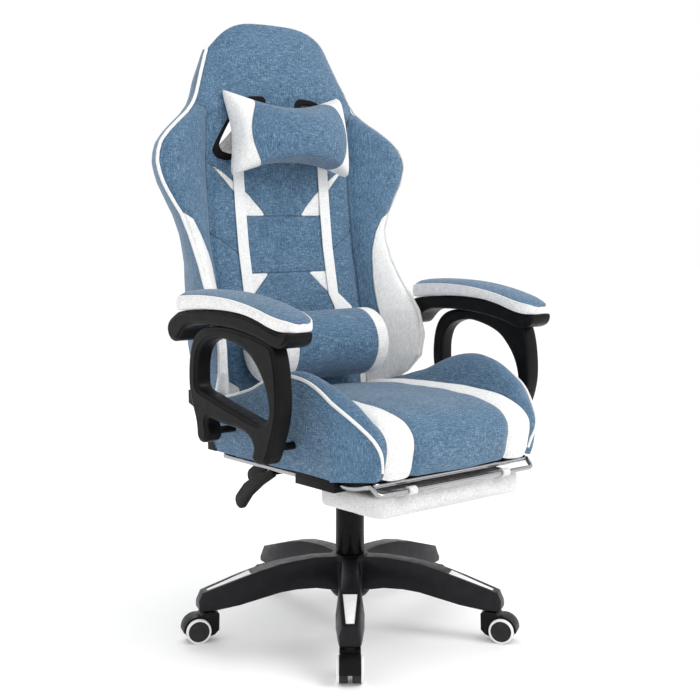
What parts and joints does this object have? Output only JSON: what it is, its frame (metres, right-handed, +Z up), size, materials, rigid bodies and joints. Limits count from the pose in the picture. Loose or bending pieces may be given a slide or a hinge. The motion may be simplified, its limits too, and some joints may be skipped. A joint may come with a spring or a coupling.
{
  "type": "gaming chair",
  "caption": "Reclining bucket-seat gaming chair in woven fabric with looped armrests, pillows, pull-out footrest and a star base on casters.",
  "frame": {"origin": "on the floor, on the axis of the gas lift", "axes": "+Z up; the chair faces -Y; +X is the sitter's left"},
  "size_m": [0.69, 0.6694, 1.233],
  "materials": {
    "black_plastic": "satin moulded nylon with a fine grain",
    "white_plastic": "satin",
    "caster_wheel": "white polyurethane tyre round a dark grey disc",
    "steel": "zinc plated",
    "black_metal": "black powder coat",
    "black_lining": "non-woven dust cover over a board",
    "chrome_tube": "polished",
    "blue_fabric": "heathered linen weave",
    "white_fabric": "off-white linen weave"
  },
  "bodies": {
    "base": {"star_base": "black_plastic", "leg_inserts": "white_plastic", "gas_cylinder": "black_metal", "gas_cover_lower": "black_plastic"},
    "caster_1": {"caster_1_hood": "black_plastic", "caster_1_pin": "steel"},
    "caster_1_left": {"caster_1_wheel_left": "caster_wheel"},
    "caster_1_right": {"caster_1_wheel_right": "caster_wheel"},
    "caster_2": {"caster_2_hood": "black_plastic", "caster_2_pin": "steel"},
    "caster_2_left": {"caster_2_wheel_left": "caster_wheel"},
    "caster_2_right": {"caster_2_wheel_right": "caster_wheel"},
    "caster_3": {"caster_3_hood": "black_plastic", "caster_3_pin": "steel"},
    "caster_3_left": {"caster_3_wheel_left": "caster_wheel"},
    "caster_3_right": {"caster_3_wheel_right": "caster_wheel"},
    "caster_4": {"caster_4_hood": "black_plastic", "caster_4_pin": "steel"},
    "caster_4_left": {"caster_4_wheel_left": "caster_wheel"},
    "caster_4_right": {"caster_4_wheel_right": "caster_wheel"},
    "caster_5": {"caster_5_hood": "black_plastic", "caster_5_pin": "steel"},
    "caster_5_left": {"caster_5_wheel_left": "caster_wheel"},
    "caster_5_right": {"caster_5_wheel_right": "caster_wheel"},
    "lift": {"gas_piston": "steel", "gas_cover_upper": "black_plastic"},
    "mechanism": {"mechanism_housing": "black_metal", "rocking_pin": "steel"},
    "knob": {"tension_knob": "black_plastic"},
    "height_lever": {"height_lever": "black_plastic"},
    "seat": {"seat_plate": "black_metal", "seat_frame": "black_metal", "seat_pan": "black_lining", "seat_cushion": "blue_fabric", "seat_bolster_left": "blue_fabric", "seat_bolster_right": "blue_fabric", "recliner_left": "black_metal", "recliner_right": "black_metal", "arm_frame_left": "black_plastic", "arm_frame_right": "black_plastic", "arm_pad_left": "blue_fabric", "arm_pad_right": "blue_fabric", "arm_bolts": "steel", "footrest_guides": "black_plastic"},
    "recline_lever": {"recline_lever": "black_plastic"},
    "back": {"back_frame": "black_metal", "back_cushion": "blue_fabric", "head_cushion": "blue_fabric", "back_wing_left": "blue_fabric", "back_wing_right": "blue_fabric", "back_cover": "blue_fabric", "harness_trims": "black_plastic", "head_pillow": "blue_fabric", "lumbar_pillow": "blue_fabric", "straps": "white_fabric"},
    "footrest_slider": {"footrest_rail": "chrome_tube"},
    "footrest": {"footrest_board": "black_plastic", "footrest_cushion": "white_fabric"}
  },
  "joints": [
    {"name": "caster_1_swivel", "type": "hinge", "parent": "base", "child": "caster_1", "pos_m": [-0.19155, -0.22828, 0.06], "axis": [0, 0, 1], "continuous": true},
    {"name": "caster_1_left_spin", "type": "hinge", "parent": "caster_1", "child": "caster_1_left", "pos_m": [-0.20441, -0.2436, 0.025], "axis": [0.766, -0.6428, 0], "continuous": true},
    {"name": "caster_1_right_spin", "type": "hinge", "parent": "caster_1", "child": "caster_1_right", "pos_m": [-0.20441, -0.2436, 0.025], "axis": [0.766, -0.6428, 0], "continuous": true},
    {"name": "caster_2_swivel", "type": "hinge", "parent": "base", "child": "caster_2", "pos_m": [0.15792, -0.25272, 0.06], "axis": [0, 0, 1], "continuous": true},
    {"name": "caster_2_left_spin", "type": "hinge", "parent": "caster_2", "child": "caster_2_left", "pos_m": [0.16851, -0.26968, 0.025], "axis": [0.848, 0.5299, 0], "continuous": true},
    {"name": "caster_2_right_spin", "type": "hinge", "parent": "caster_2", "child": "caster_2_right", "pos_m": [0.16851, -0.26968, 0.025], "axis": [0.848, 0.5299, 0], "continuous": true},
    {"name": "caster_3_swivel", "type": "hinge", "parent": "base", "child": "caster_3", "pos_m": [0.28915, 0.07209, 0.06], "axis": [0, 0, 1], "continuous": true},
    {"name": "caster_3_left_spin", "type": "hinge", "parent": "caster_3", "child": "caster_3_left", "pos_m": [0.30855, 0.07693, 0.025], "axis": [-0.2419, 0.9703, 0], "continuous": true},
    {"name": "caster_3_right_spin", "type": "hinge", "parent": "caster_3", "child": "caster_3_right", "pos_m": [0.30855, 0.07693, 0.025], "axis": [-0.2419, 0.9703, 0], "continuous": true},
    {"name": "caster_4_swivel", "type": "hinge", "parent": "base", "child": "caster_4", "pos_m": [0.02079, 0.29727, 0.06], "axis": [0, 0, 1], "continuous": true},
    {"name": "caster_4_left_spin", "type": "hinge", "parent": "caster_4", "child": "caster_4_left", "pos_m": [0.02218, 0.31722, 0.025], "axis": [-0.9976, 0.0698, 0], "continuous": true},
    {"name": "caster_4_right_spin", "type": "hinge", "parent": "caster_4", "child": "caster_4_right", "pos_m": [0.02218, 0.31722, 0.025], "axis": [-0.9976, 0.0698, 0], "continuous": true},
    {"name": "caster_5_swivel", "type": "hinge", "parent": "base", "child": "caster_5", "pos_m": [-0.2763, 0.11163, 0.06], "axis": [0, 0, 1], "continuous": true},
    {"name": "caster_5_left_spin", "type": "hinge", "parent": "caster_5", "child": "caster_5_left", "pos_m": [-0.29484, 0.11912, 0.025], "axis": [-0.3746, -0.9272, 0], "continuous": true},
    {"name": "caster_5_right_spin", "type": "hinge", "parent": "caster_5", "child": "caster_5_right", "pos_m": [-0.29484, 0.11912, 0.025], "axis": [-0.3746, -0.9272, 0], "continuous": true},
    {"name": "gas_lift", "type": "slide", "parent": "base", "child": "lift", "axis": [0, 0, 1], "range_m": [0, 0.08]},
    {"name": "seat_swivel", "type": "hinge", "parent": "lift", "child": "mechanism", "pos_m": [0, 0, 0.33], "axis": [0, 0, 1], "continuous": true},
    {"name": "knob_turn", "type": "hinge", "parent": "mechanism", "child": "knob", "pos_m": [0, -0.068, 0.3], "axis": [0, 0, 1], "continuous": true},
    {"name": "height_lever_lift", "type": "hinge", "parent": "mechanism", "child": "height_lever", "pos_m": [-0.1, -0.004, 0.343], "axis": [1, 0, 0], "range_deg": [0, 12], "stiffness_Nm_per_rad": 2, "springref_deg": -11.46},
    {"name": "seat_rock", "type": "hinge", "parent": "mechanism", "child": "seat", "pos_m": [0, -0.055, 0.352], "axis": [-1, 0, 0], "range_deg": [0, 10], "stiffness_Nm_per_rad": 400, "springref_deg": -20.05},
    {"name": "recline_lever_lift", "type": "hinge", "parent": "seat", "child": "recline_lever", "pos_m": [-0.19, 0.034, 0.352], "axis": [1, 0, 0], "range_deg": [0, 10], "stiffness_Nm_per_rad": 2, "springref_deg": -11.46},
    {"name": "back_recline", "type": "hinge", "parent": "seat", "child": "back", "pos_m": [0, 0.14, 0.425], "axis": [-1, 0, 0], "range_deg": [0, 35]},
    {"name": "footrest_slide", "type": "slide", "parent": "seat", "child": "footrest_slider", "axis": [0, -1, 0], "range_m": [0, 0.28]},
    {"name": "footrest_flip", "type": "hinge", "parent": "footrest_slider", "child": "footrest", "pos_m": [0, -0.312, 0.352], "axis": [-1, 0, 0], "range_deg": [0, 180]}
  ]
}
